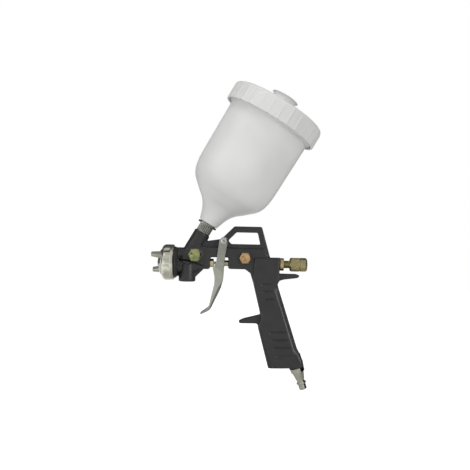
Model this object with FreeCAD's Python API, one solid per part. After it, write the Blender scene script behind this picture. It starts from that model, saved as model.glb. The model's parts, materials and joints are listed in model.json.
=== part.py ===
import FreeCAD, Part
import math
import os
from FreeCAD import Vector as V

# Gravity-feed spray gun, in millimetres.
# +X towards the rear of the gun, -X towards the nozzle, +Z up, -Y the side with the hex plugs.
# The origin is on the underside of the hanging loop's top bar, in the middle plane.

# ---------------------------------------------------------------- needle axis
AXIS_Z = -32.5
NOSE_FRONT = -84.0
NOSE_R = 15.9
FLANGE_FRONT = -75.4
FLANGE_REAR = -73.9
FLANGE_R = 16.5
CHAMBER_R = 3.5
RUN_GAP = 0.05

# ---------------------------------------------------------------- casting
BODY_HALF = 8.2
BLOCK_HALF = 10.6
HOOK_HALF = 4.3
RIB_HALF = 4.7
UPPER_TUBE_Z = -23.3
UPPER_TUBE_R = 6.5
LOWER_TUBE_HALF = 7.2
LOWER_BAR_HALF = 7.0
GALLERY_Y = 4.9
GALLERY_Z = -22.6
GALLERY_R = 1.2
SIPHON_X = -61.9
SIPHON_R = 8.8
SIPHON_Z = -52.3

# ---------------------------------------------------------------- stem and cup axis
STEM_FOOT = V(-65.0, 0, AXIS_Z)
STEM_DIR = V(0.504, 0, 0.8637)
STEM_TOP = 36.7
STEM_R = 8.6
PAINT_R = 3.2
CUP_FOOT = 48.0
LID_FOOT = 170.5
CUP_WALL = 1.9
CUP_R = 45.6
CUP_COLLAR_R = 49.6
CUP_BRIM = 187.2
LID_R = 51.7
LID_TOP = 190.5
LID_WALL = 1.9
LID_RIBS = 30

# ---------------------------------------------------------------- trigger
PIVOT = V(-23.6, 0, -9.0)
PIVOT_R = 2.5
TRIGGER_OUT = 10.1
TRIGGER_SHEET = 1.6

# ---------------------------------------------------------------- valve and needle train
BUSH_FRONT = -19.0
SEAT_X = 3.0
CHAMBER_REAR = 24.0
REAR_FACE = 34.5
VALVE_BORE_R = 6.5
STEM_ROD_R = 3.1
NEEDLE_R = 1.5
HOUSING_BORE_R = 4.15
SHANK_R = 4.1

# ---------------------------------------------------------------- air inlet
INLET = V(55.0, 0, -139.8)
INLET_DIR = V(0.3170, 0, -0.9484)
INLET_THREAD_R = 6.55

# ---------------------------------------------------------------- passage plugs
FRONT_PLUG = V(-53.6, 0, -24.2)
REAR_PLUG = V(-1.2, 0, -26.5)


def outline(points, y):
    """Closed wire in a plane of constant Y; each point is x, z, corner radius."""
    trims = []
    for i, (x, z, r) in enumerate(points):
        p = V(x, y, z)
        before = points[i - 1]
        after = points[(i + 1) % len(points)]
        a = (V(before[0], y, before[1]) - p).normalize()
        b = (V(after[0], y, after[1]) - p).normalize()
        if r <= 0:
            trims.append((p, None, p))
            continue
        half = a.getAngle(b) / 2
        cut = r / math.tan(half)
        middle = p + (a + b).normalize() * (r / math.sin(half) - r)
        trims.append((p + a * cut, middle, p + b * cut))
    edges = []
    for i, (start, middle, end) in enumerate(trims):
        if middle is not None:
            edges.append(Part.Arc(start, middle, end).toShape())
        following = trims[(i + 1) % len(trims)][0]
        if end.distanceToPoint(following) > 1e-4:
            edges.append(Part.makeLine(end, following))
    return Part.Wire(edges)


def slab(points, half, rounding=0.0):
    """Plate of thickness 2 * half about the middle plane, its two rims rounded."""
    solid = Part.Face(outline(points, -half)).extrude(V(0, 2 * half, 0))
    if rounding:
        rims = []
        for edge in solid.Edges:
            ys = [v.Y for v in edge.Vertexes]
            if abs(ys[0] - ys[-1]) < 1e-6:
                rims.append(edge)
        solid = solid.makeFillet(rounding, rims)
    return solid


def turned(points):
    """Solid of revolution about local Z; points are position along the axis, radius."""
    wire = Part.makePolygon([V(r, 0, z) for z, r in points + points[:1]])
    return Part.Face(wire).revolve(V(0, 0, 0), V(0, 0, 1), 360)


def on_axis(shape, foot, direction):
    """Carries a shape from local Z to a line through foot."""
    moved = shape.copy()
    moved.Placement = FreeCAD.Placement(foot, FreeCAD.Rotation(V(0, 0, 1), direction))
    return moved


def on_needle(shape):
    return on_axis(shape, V(0, 0, AXIS_Z), V(1, 0, 0))


def on_stem(shape):
    return on_axis(shape, STEM_FOOT, STEM_DIR)


def on_inlet(shape):
    return on_axis(shape, INLET, INLET_DIR)


def rod(start, end, radius):
    """Cylinder between two points."""
    run = end - start
    return Part.makeCylinder(radius, run.Length, start, run)


def rod_x(x0, x1, radius, y=0.0, z=AXIS_Z):
    return rod(V(x0, y, z), V(x1, y, z), radius)


def rod_y(y0, y1, radius, x, z):
    return rod(V(x, y0, z), V(x, y1, z), radius)


def box(x0, x1, y0, y1, z0, z1):
    return Part.makeBox(x1 - x0, y1 - y0, z1 - z0, V(x0, y0, z0))


def hexagon(flats, z0, z1, turn=0.0):
    """Hexagonal prism about local Z."""
    radius = flats / 2 / math.cos(math.radians(30))
    corners = []
    for k in range(7):
        angle = math.radians(turn + 60 * k)
        corners.append(V(radius * math.cos(angle), radius * math.sin(angle), z0))
    return Part.Face(Part.makePolygon(corners)).extrude(V(0, 0, z1 - z0))


def coil(radius, wire, z0, z1, turns):
    """Compression spring about local Z."""
    length = z1 - z0 - wire
    path = Part.makeHelix(length / turns, length, radius)
    path.translate(V(0, 0, z0 + wire / 2))
    section = Part.Wire(Part.makeCircle(wire / 2, V(radius, 0, z0 + wire / 2), V(0, 1, 0)))
    return Part.Wire(path).makePipeShell([section], True, True)


def fused(shapes):
    return shapes[0].multiFuse(shapes[1:]).removeSplitter()


def save(shape, name):
    shape.exportStep(os.path.join("parts", name + ".step"))


# ---------------------------------------------------------------- casting

def front_end():
    """Threaded nose, flange, the two tubes behind it, stem and blank siphon boss."""
    nose = rod_x(NOSE_FRONT, FLANGE_FRONT, NOSE_R)
    flange = on_needle(turned([(FLANGE_FRONT, 0), (FLANGE_FRONT, FLANGE_R - 0.4),
                               (FLANGE_FRONT + 0.4, FLANGE_R), (FLANGE_REAR, FLANGE_R),
                               (FLANGE_REAR + 0.7, FLANGE_R - 0.9), (FLANGE_REAR + 2.3, 14.3),
                               (FLANGE_REAR + 2.3, 0)]))
    upper = rod_x(-74.0, -42.0, UPPER_TUBE_R, 0, UPPER_TUBE_Z)
    lower_side = [(-74, -29.4, 0), (-50, -29.4, 0), (-50, -42.3, 0), (-74, -42.3, 0)]
    lower = slab(lower_side, LOWER_TUBE_HALF, 4.2)
    web = slab([(-74, -20, 0), (-50, -20, 0), (-50, -38, 0), (-74, -38, 0)], 5.4)
    stem = on_stem(turned([(0, 0), (0, STEM_R), (STEM_TOP - 0.6, STEM_R),
                           (STEM_TOP, STEM_R - 0.6), (STEM_TOP, 0)]))
    siphon = rod(V(SIPHON_X, 0, -34.0), V(SIPHON_X, 0, SIPHON_Z), SIPHON_R)
    foot = [e for e in siphon.Edges if e.Vertexes[0].Z < SIPHON_Z + 1 and e.Length > 50]
    siphon = siphon.makeChamfer(0.8, foot)
    seat = rod_y(-9.2, 0, 8.0, FRONT_PLUG.x, FRONT_PLUG.z)
    seat = seat.makeChamfer(0.6, [e for e in seat.Edges if e.Vertexes[0].Y < -9 and e.Length > 40])
    return [nose, flange, upper, lower, web, stem, siphon, seat]


def top_rib():
    """Narrow rib along the top of the casting, with the boss for the trigger's pivot."""
    side = [(-56, -11.7, 0), (-28.4, -7.4, 3), (-20.2, -7.4, 3), (-16.4, -12.2, 2),
            (20.9, -12.2, 0), (23.4, -21.0, 0), (-56, -21.0, 0)]
    boss = rod_y(-BODY_HALF, BODY_HALF, 3.8, PIVOT.x, PIVOT.z)
    return [slab(side, RIB_HALF, 1.0), boss]


def centre_block():
    """Front block, the gap for the trigger and the block behind it, down to the grip's root."""
    side = [(-53.2, -15.2, 0), (-8, -16.6, 0), (18.8, -16.6, 2), (24.6, -28, 0), (24.6, -52, 0),
            (7.4, -52, 0), (4.3, -42.2, 3), (-1.2, -38.2, 3), (-19, -38.2, 2.4),
            (-19, -26.4, 0.9), (-37.9, -26.4, 1.8), (-37.9, -38.8, 2.4), (-53.2, -38.8, 0)]
    below = [(-53.3, -31.6, 0), (-51.2, -33.1, 0), (-43.8, -35.6, 0), (-40.2, -39.5, 0),
             (-53.3, -39.5, 0)]
    relief = slab(below, BODY_HALF + 1).cut(slab(below, LOWER_BAR_HALF))
    return slab(side, BODY_HALF, 1.2).cut(relief)


def siphon_web():
    return slab([(-62, -36, 0), (-43.4, -37.8, 0), (-53.2, -47.6, 0), (-62, -47.6, 0)], 3.6, 0.8)


def rear_block():
    """Wide head of the grip, around the valve chamber."""
    side = [(8.2, -26.0, 0), (34.5, -25.7, 0), (34.5, -47.4, 0), (33.3, -52, 0), (31.5, -58, 0),
            (10.6, -58, 0), (7.4, -50, 0), (6.9, -44, 0)]
    return slab(side, BLOCK_HALF, 1.5)


def grip():
    """Pistol grip with its widened foot around the air inlet."""
    side = [(11.0, -32, 0), (29.2, -32, 0), (33.4, -55.2, 9), (54.3, -118.6, 12),
            (61.1, -132.4, 6), (61.2, -160, 0), (30.2, -160, 0), (13.0, -97.2, 14),
            (15.9, -86, 14), (6.8, -49.6, 6)]
    below = slab([(0, -140.8, 0), (90, -138.8, 0), (90, -170, 0), (0, -170, 0)], 20)
    body = slab(side, BLOCK_HALF, 4.0).cut(below)
    boss = on_inlet(turned([(-16, 0), (-16, 6.6), (-12, 7.9), (0, 7.9), (0, 0)]))
    return [body, boss]


def grip_grooves():
    """Short horizontal grooves on both sides of the grip, three above and four below."""
    cuts = []
    rows = [(16.5, 27.0, -53.4), (18.4, 29.0, -60.8), (20.6, 31.2, -69.0),
            (26.0, 43.0, -103.0), (28.0, 45.5, -111.2), (30.3, 47.5, -119.2), (32.5, 49.5, -127.6)]
    for x0, x1, z in rows:
        for side in (-1, 1):
            y = side * (BLOCK_HALF + 0.9)
            cuts.append(rod(V(x0, y, z), V(x1, y, z + 0.3), 1.5))
    return cuts


def hanging_loop():
    outer = [(-29.5, -10.0, 0), (-13.2, 6.4, 3), (15.6, 6.4, 2.2), (26.0, -30.0, 0), (10, -34, 0),
             (-20, -20, 0)]
    inner = [(-18.9, -8.2, 1), (-10.9, 0, 1.5), (11.4, 0, 1.5), (14.2, -12.2, 0), (-18.9, -12.2, 0)]
    ring = slab(outer, HOOK_HALF).cut(slab(inner, HOOK_HALF + 1))
    rims = []
    for edge in ring.Edges:
        ys = [v.Y for v in edge.Vertexes]
        if abs(ys[0] - ys[-1]) < 1e-6 and edge.CenterOfMass.z > -11.5:
            rims.append(edge)
    return ring.makeFillet(1.1, rims)


def spurs():
    """Finger rest in front of the grip and hand rest behind it."""
    rear = [(28, -42.2, 0), (52.6, -42.4, 0), (55.4, -43.4, 0), (55.4, -45.0, 0), (53.0, -46.4, 0),
            (39.6, -48.1, 0), (35.2, -49.4, 0), (33.4, -52.4, 0), (28, -52.4, 0)]
    front = [(22, -83.4, 0), (11.6, -86.6, 0), (-1.7, -90.0, 0), (-6.4, -92.2, 0), (-6.6, -93.8, 0),
             (-5.0, -94.7, 0), (11.5, -94.6, 0), (13.4, -96.4, 0), (22, -96.4, 0)]
    return [slab(rear, 5.5, 0.7), slab(front, 5.0, 0.7)]


def casting_bores():
    """Thread bores, paint and air passages, valve chamber, pin hole and plug seats."""
    nozzle_thread = rod_x(NOSE_FRONT - 1, -70.4, 6.05)
    paint = rod_x(-71, -39, CHAMBER_R)
    packing_box = rod_x(-45.0, -36.0, 4.05)
    air_ring = on_needle(turned([(NOSE_FRONT - 1, 9.2), (NOSE_FRONT - 1, 13.0),
                                 (NOSE_FRONT + 3, 13.0), (NOSE_FRONT + 3, 9.2)]))
    feed = on_stem(turned([(0, 0), (0, PAINT_R), (STEM_TOP - 11, PAINT_R),
                           (STEM_TOP - 11, 5.05), (STEM_TOP + 1, 5.05), (STEM_TOP + 1, 0)]))
    cuts = [nozzle_thread, paint, packing_box, air_ring, feed]
    for side in (-1, 1):
        cuts.append(rod_x(NOSE_FRONT + 2, REAR_PLUG.x, GALLERY_R, side * GALLERY_Y, GALLERY_Z))
    cuts.append(rod_y(-12, -4.2, 5.0, FRONT_PLUG.x, FRONT_PLUG.z))
    cuts.append(rod_y(-12, 6.6, 3.9, REAR_PLUG.x, REAR_PLUG.z))
    cuts.append(rod_x(BUSH_FRONT - 1, -11.0, 5.05))
    cuts.append(rod_x(-12, SEAT_X, 4.6))
    cuts.append(rod_x(SEAT_X, CHAMBER_REAR, VALVE_BORE_R))
    cuts.append(rod_x(CHAMBER_REAR - 1, REAR_FACE + 1, 6.55))
    cuts.append(rod_y(-12, 12, PIVOT_R + 0.02, PIVOT.x, PIVOT.z))
    top = V(19.1, 0, AXIS_Z)
    cuts.append(rod(INLET + INLET_DIR * 1, top, 3.2))
    cuts.append(rod(INLET + INLET_DIR * 6, INLET - INLET_DIR * 11.5, INLET_THREAD_R + 0.05))
    cuts.append(on_inlet(turned([(0, 0), (0, 14), (8, 14), (8, 0)])))
    return cuts


def gun_body():
    solids = front_end() + top_rib() + [centre_block(), siphon_web(), rear_block()]
    solids += grip() + [hanging_loop()] + spurs()
    casting = solids[0].multiFuse(solids[1:])
    casting = casting.cut(grip_grooves())
    casting = casting.cut(casting_bores())
    return casting.removeSplitter()


# ---------------------------------------------------------------- nozzle set

def fluid_nozzle():
    shape = turned([(-93.0, 0.85), (-93.0, 1.7), (-91.2, 2.0), (-88.6, 4.6), (-88.6, 6.0),
                    (-86.0, 6.0), (-86.0, 13.2), (-84.62, 13.2), (-84.62, 6.0), (-71.0, 6.0),
                    (-71.0, 3.0), (-88.2, 3.0), (-92.2, 0.85)])
    cuts = []
    for k in range(10):
        angle = math.radians(36 * k)
        spot = V(11.1 * math.cos(angle), 11.1 * math.sin(angle), -87.0)
        cuts.append(Part.makeCylinder(0.95, 4, spot))
    return on_needle(shape.cut(cuts))


def nozzle_gasket():
    return on_needle(turned([(-84.6, 6.1), (-84.6, 9.0), (-84.02, 9.0), (-84.02, 6.1)]))


def horn(angle):
    """Tapered air horn with a drilled passage, about local Z at the given clock angle."""
    feet = []
    for z, inner, outer, half in ((-88.0, 8.0, 13.6, 3.2), (-99.0, 10.0, 13.5, 2.3)):
        corners = [V(inner, -half, z), V(outer, -half, z), V(outer, half, z), V(inner, half, z)]
        feet.append(Part.makePolygon(corners + corners[:1]))
    body = Part.makeLoft(feet, True, True)
    long_edges = [e for e in body.Edges if e.Length > 8]
    body = body.makeFillet(0.9, long_edges)
    passage = rod(V(12.0, 0, -86.0), V(12.0, 0, -96.8), 0.8)
    jet = rod(V(12.4, 0, -96.2), V(8.0, 0, -98.3), 0.6)
    body = body.cut(passage).cut(jet)
    body.rotate(V(0, 0, 0), V(0, 0, 1), angle)
    return body


def air_cap():
    shell = turned([(-92.4, 2.5), (-92.4, 5.6), (-91.9, 7.6), (-90.9, 10.6), (-89.6, 12.9),
                    (-88.6, 13.8), (-86.0, 13.8), (-86.0, 15.7), (-84.1, 15.7), (-84.1, 13.45),
                    (-86.2, 13.45), (-86.2, 12.0), (-88.4, 11.6), (-90.6, 6.6), (-91.4, 2.5)])
    drills = []
    for angle in (45, 225):
        shaft = rod(V(12.0, 0, -90.4), V(12.0, 0, -85.8), 0.7)
        shaft.rotate(V(0, 0, 0), V(0, 0, 1), angle)
        drills.append(shaft)
    cap = fused([shell, horn(45), horn(225)]).cut(drills)
    for k in range(8):
        angle = math.radians(22.5 + 45 * k)
        spot = V(4.6 * math.cos(angle), 4.6 * math.sin(angle), -94)
        drills.append(Part.makeCylinder(0.4, 5, spot))
    return on_needle(cap.cut(drills[2:]))


def retaining_ring():
    """Front collar with twelve shallow flutes and a chamfered nose."""
    ring = turned([(-88.0, 14.0), (-88.0, 15.3), (-87.3, 16.7), (-85.9, 17.9), (-84.3, 18.5),
                   (-76.4, 18.5), (-75.8, 17.9), (-75.8, NOSE_R + RUN_GAP),
                   (-84.05, NOSE_R + RUN_GAP), (-86.8, NOSE_R + RUN_GAP), (-86.8, 14.0)])
    cuts = []
    for k in range(12):
        angle = math.radians(15 + 30 * k)
        spot = V(27.2 * math.cos(angle), 27.2 * math.sin(angle), -90)
        cuts.append(Part.makeCylinder(9.5, 10.6, spot))
    return on_needle(ring.cut(cuts))


def cap_seal():
    return on_needle(turned([(-86.75, 14.1), (-86.75, 15.8), (-86.05, 15.8), (-86.05, 14.1)]))


# ---------------------------------------------------------------- plugs on the side of the casting

def side_plug(flats, head_y, thread_r, thread_end, seat_y, turn):
    """Hex plug screwed in along +Y, its domed head towards -Y."""
    head = hexagon(flats, head_y, seat_y, turn)
    corner = flats / 2 / math.cos(math.radians(30))
    form = turned([(head_y, 0), (head_y, flats / 2 - 0.7), (head_y + 1.3, corner + 0.1),
                   (seat_y, corner + 0.1), (seat_y, 0)])
    thread = Part.makeCylinder(thread_r, thread_end - seat_y, V(0, 0, seat_y))
    return fused([head.common(form), thread])


def ring_washer(inner, outer, z0, z1):
    return turned([(z0, inner), (z0, outer), (z1, outer), (z1, inner)])


def along_y(shape, spot):
    return on_axis(shape, V(spot.x, 0, spot.z), V(0, 1, 0))


# ---------------------------------------------------------------- packing, air valve, needle

def needle_packing():
    return on_needle(turned([(-44.9, NEEDLE_R + 0.03), (-44.9, 3.95), (-41.6, 3.95),
                             (-41.6, NEEDLE_R + 0.03)]))


def packing_nut():
    shank = turned([(-41.5, 1.7), (-41.5, 3.95), (-37.8, 3.95), (-37.8, 1.7)])
    head = hexagon(8.0, -37.7, -34.2)
    return on_needle(fused([shank, head]).cut(rod(V(0, 0, -42), V(0, 0, -34), 1.7)))


def air_valve_bush():
    return on_needle(turned([(-18.9, STEM_ROD_R + RUN_GAP), (-18.9, 5.0), (-11.2, 5.0),
                             (-11.2, 4.4), (-14.6, 4.4), (-14.6, STEM_ROD_R + RUN_GAP)]))


def air_valve_packing():
    return on_needle(turned([(-14.5, STEM_ROD_R + 0.03), (-14.5, 4.35), (-12.2, 4.35),
                             (-12.2, STEM_ROD_R + 0.03)]))


def air_valve_stem():
    """Hollow stem that the trigger pushes, with its valve plate; the needle runs through it."""
    bore = NEEDLE_R + RUN_GAP
    return on_needle(turned([(-29.3, bore), (-29.3, 3.4), (-27.6, 3.4), (-27.6, STEM_ROD_R),
                             (-3.5, STEM_ROD_R), (-3.5, 2.5), (SEAT_X + 1.6, 2.5),
                             (SEAT_X + 1.6, 5.6), (SEAT_X + 3.0, 5.6), (SEAT_X + 3.0, 3.2),
                             (SEAT_X + 6.0, 3.2), (SEAT_X + 6.0, bore)]))


def air_valve_seal():
    return on_needle(ring_washer(2.55, 5.9, SEAT_X + 0.03, SEAT_X + 1.57))


def fluid_needle():
    return on_needle(turned([(-93.5, 0), (-93.5, 0.35), (-89.4, NEEDLE_R), (44.0, NEEDLE_R),
                             (44.0, 0)]))


def needle_collar():
    return on_needle(ring_washer(NEEDLE_R + 0.01, 3.8, 11.6, 16.0))


# ---------------------------------------------------------------- fluid adjuster

def adjuster_housing():
    """Threaded housing with a round nut head, screwed into the rear face."""
    return on_needle(turned([(22.2, HOUSING_BORE_R), (22.2, 6.3), (24.2, 6.5), (35.2, 6.5),
                             (35.2, 6.2), (35.6, 6.6), (38.8, 6.6), (39.2, 6.2),
                             (39.2, HOUSING_BORE_R)]))


def adjuster_gasket():
    return on_needle(ring_washer(6.55, 7.2, REAR_FACE + 0.02, 35.18))


def fluid_knob():
    """Adjusting knob with its hollow threaded shank; fine diagonal lines on its front half."""
    knob = turned([(31.0, 2.9), (31.0, SHANK_R), (45.5, SHANK_R), (45.5, 6.2), (46.6, 7.2),
                   (55.3, 7.2), (55.6, 6.8), (56.0, 6.8), (56.3, 7.2), (61.8, 7.2), (63.0, 6.5),
                   (63.6, 5.2), (63.6, 0), (58.3, 0), (58.3, 2.9)])
    cuts = []
    for k in range(24):
        angle = math.radians(15 * k)
        start = V(7.45 * math.cos(angle), 7.45 * math.sin(angle), 46.8)
        twist = angle + math.radians(16)
        end = V(7.45 * math.cos(twist), 7.45 * math.sin(twist), 55.1)
        cuts.append(rod(start, end, 0.42))
    return on_needle(knob.cut(cuts))


def spring_seat():
    return on_needle(turned([(57.0, 0), (57.0, 2.8), (58.25, 2.8), (58.25, 0)]))


# ---------------------------------------------------------------- trigger

def front_prism(top_half, bend_z, tip_half):
    """Prism along X whose width tapers below bend_z, seen from the front."""
    low = -100.0
    corners = [(-top_half, 5), (top_half, 5), (top_half, bend_z), (tip_half + 0.8, -64),
               (tip_half, low), (-tip_half, low), (-tip_half - 0.8, -64), (-top_half, bend_z)]
    wire = Part.makePolygon([V(-80, y, z) for y, z in corners + corners[:1]])
    return Part.Face(wire).extrude(V(100, 0, 0))


TRIGGER_SIDE = [(-23.4, -5.4, 3.2), (-28.4, -7.0, 3), (-29.4, -16, 0), (-31.6, -31.4, 6),
                (-34.9, -37.6, 3), (-33.2, -45, 20), (-32.5, -51.4, 28), (-38.6, -78.6, 8),
                (-47.4, -84.9, 0.7), (-46.6, -86.2, 0.7), (-37.0, -81.6, 10), (-26.0, -58, 30),
                (-24.1, -50.2, 30), (-23.6, -39.7, 30), (-22.3, -24.9, 30), (-19.2, -6.0, 3)]


def trigger():
    """Pressed U-channel lever: two side arms on the pivot, a slotted web and a curved blade."""
    outer = slab(TRIGGER_SIDE, 14).common(front_prism(TRIGGER_OUT, -42, 6.4))
    shifted = slab(TRIGGER_SIDE, 14)
    shifted.translate(V(1.75, 0, 0.3))
    inner_half = TRIGGER_OUT - TRIGGER_SHEET
    pocket = shifted.common(front_prism(inner_half, -42, 6.4 - TRIGGER_SHEET))
    rear = slab(TRIGGER_SIDE, 14)
    rear.translate(V(9, 0, 3))
    pocket = pocket.fuse(rear.common(front_prism(inner_half, -42, 6.4 - TRIGGER_SHEET)))
    head = box(-50, 0, -inner_half, inner_half, -27.4, 5)
    slot = box(-50, 0, -2.6, 2.6, -37.6, -20)
    pin_hole = rod_y(-20, 20, PIVOT_R + RUN_GAP, PIVOT.x, PIVOT.z)
    return outer.cut([pocket, head, slot, pin_hole])


def trigger_pin():
    """Pivot screw: domed head on the near side, plain shank, groove for the clip."""
    y0 = -TRIGGER_OUT - 0.1
    far = TRIGGER_OUT + 2.4
    shape = turned([(y0 - 2.2, 0), (y0 - 2.2, 2.6), (y0 - 1.3, 3.7), (y0, 3.9), (y0, PIVOT_R),
                    (far - 1.8, PIVOT_R), (far - 1.8, 1.9), (far - 0.9, 1.9), (far - 0.9, PIVOT_R),
                    (far - 0.3, PIVOT_R), (far, PIVOT_R - 0.3), (far, 0)])
    slot = box(-0.45, 0.45, -5, 5, y0 - 3, y0 - 1.5)
    return along_y(shape.cut(slot), PIVOT)


def trigger_pin_clip():
    far = TRIGGER_OUT + 2.4
    clip = ring_washer(1.95, 4.3, far - 1.75, far - 0.95)
    gap = box(-1.2, 1.2, 0, 6, far - 3, far)
    return along_y(clip.cut(gap), PIVOT)


def trigger_washers():
    inner = TRIGGER_OUT - TRIGGER_SHEET
    near = ring_washer(PIVOT_R + 0.05, 3.9, -inner + 0.04, -BODY_HALF - 0.02)
    far = ring_washer(PIVOT_R + 0.05, 3.9, BODY_HALF + 0.02, inner - 0.04)
    return along_y(Part.makeCompound([near, far]), PIVOT)


# ---------------------------------------------------------------- air inlet plug

def air_plug():
    shape = turned([(-11, 2.6), (-11, 6.0), (-10.4, INLET_THREAD_R), (0.9, INLET_THREAD_R),
                    (0.9, 7.0), (5.6, 7.0), (5.6, 6.1), (13.0, 4.5), (14.2, 4.0), (15.8, 4.0),
                    (16.2, 5.0), (17.8, 5.0), (18.2, 4.0), (23.4, 4.0), (24.3, 3.2), (24.3, 2.6)])
    nut = hexagon(13.0, 0.9, 5.6, 10)
    waist = turned([(0.5, 0), (0.5, 7.5), (4.6, 7.5), (5.9, 6.3), (5.9, 0)])
    collar = turned([(0.9, 0), (0.9, 9), (5.6, 9), (5.6, 0)])
    body = fused([shape.cut(collar), nut.common(waist)])
    return on_inlet(body.cut(rod(V(0, 0, -12), V(0, 0, 25), 2.6)))


def air_plug_seal():
    return on_inlet(ring_washer(INLET_THREAD_R + 0.05, 7.8, 0.03, 0.87))


# ---------------------------------------------------------------- cup and lid

def cup_adapter():
    """Nipple between the stem and the cup: ribbed barrel, flange and threaded spigot."""
    shape = turned([(STEM_TOP - 10.5, 3.3), (STEM_TOP - 10.5, 5.0), (STEM_TOP + 0.03, 5.0),
                    (STEM_TOP + 0.03, 7.5), (45.0, 7.5), (45.0, 9.9), (45.4, 10.35),
                    (46.9, 10.35), (47.2, 9.9), (47.2, 6.0), (59.4, 6.0), (60.0, 5.4), (60.0, 3.3)])
    cuts = []
    for k in range(20):
        angle = math.radians(18 * k)
        spot = V(7.7 * math.cos(angle), 7.7 * math.sin(angle), STEM_TOP + 0.9)
        cuts.append(Part.makeCylinder(0.5, 45.0 - STEM_TOP - 1.2, spot))
    return on_stem(shape.cut(cuts))


def cup_gasket():
    return on_stem(ring_washer(6.1, 9.0, 47.23, 47.97))


def cup_strainer():
    """Thimble strainer standing in the adapter's mouth."""
    shape = turned([(56.0, 2.6), (56.0, 3.2), (60.05, 3.2), (60.05, 5.2), (61.2, 5.2),
                    (84.0, 4.2), (84.8, 3.6), (84.8, 0), (84.0, 0), (84.0, 3.2), (61.2, 4.4),
                    (60.9, 2.6)])
    cuts = []
    for row in range(6):
        for k in range(6):
            strip = rod(V(0, 0, 63.6 + 3.4 * row), V(8, 0, 63.6 + 3.4 * row), 0.9)
            strip.rotate(V(0, 0, 0), V(0, 0, 1), 60 * k + 30 * (row % 2))
            cuts.append(strip)
    return on_stem(shape.cut(cuts))


CUP_SIDE = [(CUP_FOOT, 10.3), (51.2, 11.4), (58.1, 13.8), (64.0, 16.9), (68.5, 20.5),
            (73.5, 26.5), (78.5, 32.0), (83.5, 37.4), (90.5, 41.5), (100.5, 43.8), (112.0, 44.5)]


def curve(points):
    spline = Part.BSplineCurve()
    spline.interpolate([V(r, 0, z) for z, r in points])
    return spline.toShape()


def cup():
    """Blow-moulded cup: tapered foot, round shoulder, straight wall and a threaded collar."""
    inner = []
    for i, (z, r) in enumerate(CUP_SIDE):
        z0, r0 = CUP_SIDE[max(i - 1, 0)]
        z1, r1 = CUP_SIDE[min(i + 1, len(CUP_SIDE) - 1)]
        run = math.hypot(z1 - z0, r1 - r0)
        inner.append((z + (r1 - r0) / run * CUP_WALL, r - (z1 - z0) / run * CUP_WALL))
    inner = [p for p in inner if p[0] > CUP_FOOT + 6]
    wall = [(LID_FOOT - 1.0, CUP_R), (LID_FOOT + 1.0, CUP_COLLAR_R - 0.3),
            (LID_FOOT + 2.0, CUP_COLLAR_R), (CUP_BRIM - 0.5, CUP_COLLAR_R),
            (CUP_BRIM, CUP_COLLAR_R - 0.5), (CUP_BRIM, CUP_COLLAR_R - CUP_WALL),
            (LID_FOOT + 3.0, CUP_COLLAR_R - CUP_WALL), (LID_FOOT + 1.0, CUP_R - CUP_WALL),
            (inner[-1][0], inner[-1][1])]
    edges = [curve(CUP_SIDE)]
    last = CUP_SIDE[-1]
    for z, r in wall:
        edges.append(Part.makeLine(V(last[1], 0, last[0]), V(r, 0, z)))
        last = (z, r)
    edges.append(curve(inner[::-1]))
    foot = [inner[0], (60.8, 6.9), (60.2, 6.05), (CUP_FOOT, 6.05), CUP_SIDE[0]]
    for (z0, r0), (z1, r1) in zip(foot[:-1], foot[1:]):
        edges.append(Part.makeLine(V(r0, 0, z0), V(r1, 0, z1)))
    face = Part.Face(Part.Wire(edges))
    return on_stem(face.revolve(V(0, 0, 0), V(0, 0, 1), 360))


def lid():
    """Screw lid with a fluted skirt and a vent spigot in its centre."""
    shape = turned([(LID_FOOT, CUP_COLLAR_R + 0.1), (LID_FOOT, LID_R), (LID_TOP - 2.6, LID_R),
                    (LID_TOP - 1.0, LID_R - 0.8), (LID_TOP, LID_R - 2.6), (LID_TOP, 13.4),
                    (LID_TOP + 0.8, 12.4), (LID_TOP + 0.8, 10.9), (LID_TOP + 11.0, 10.9),
                    (LID_TOP + 11.0, 9.4), (LID_TOP - 0.6, 9.4), (LID_TOP - 0.6, 1.2),
                    (LID_TOP - LID_WALL, 1.2), (LID_TOP - LID_WALL, CUP_COLLAR_R + 0.1)])
    ribs = []
    for k in range(LID_RIBS):
        angle = 360.0 / LID_RIBS * k
        rib = Part.makeCylinder(1.8, LID_TOP - LID_FOOT - 3.4, V(LID_R - 1.3, 0, LID_FOOT))
        rib.rotate(V(0, 0, 0), V(0, 0, 1), angle)
        ribs.append(rib)
    hollow = Part.makeCylinder(CUP_COLLAR_R + 0.1, LID_TOP - LID_FOOT - LID_WALL,
                               V(0, 0, LID_FOOT - 0.001))
    return on_stem(shape.multiFuse(ribs).cut(hollow).removeSplitter())


def lid_gasket():
    return on_stem(ring_washer(44.5, 49.4, CUP_BRIM + 0.03, LID_TOP - LID_WALL - 0.03))


def vent_cap():
    """Press-on vent cap: wide thin top disc over a short sleeve."""
    return on_stem(turned([(LID_TOP + 1.0, 10.95), (LID_TOP + 1.0, 13.0), (LID_TOP + 11.6, 13.0),
                           (LID_TOP + 11.8, 15.0), (LID_TOP + 12.3, 15.2), (LID_TOP + 12.8, 14.2),
                           (LID_TOP + 13.9, 7.0), (LID_TOP + 14.3, 1.5), (LID_TOP + 14.3, 0),
                           (LID_TOP + 11.8, 0),
                           (LID_TOP + 11.8, 10.95)]))


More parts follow.
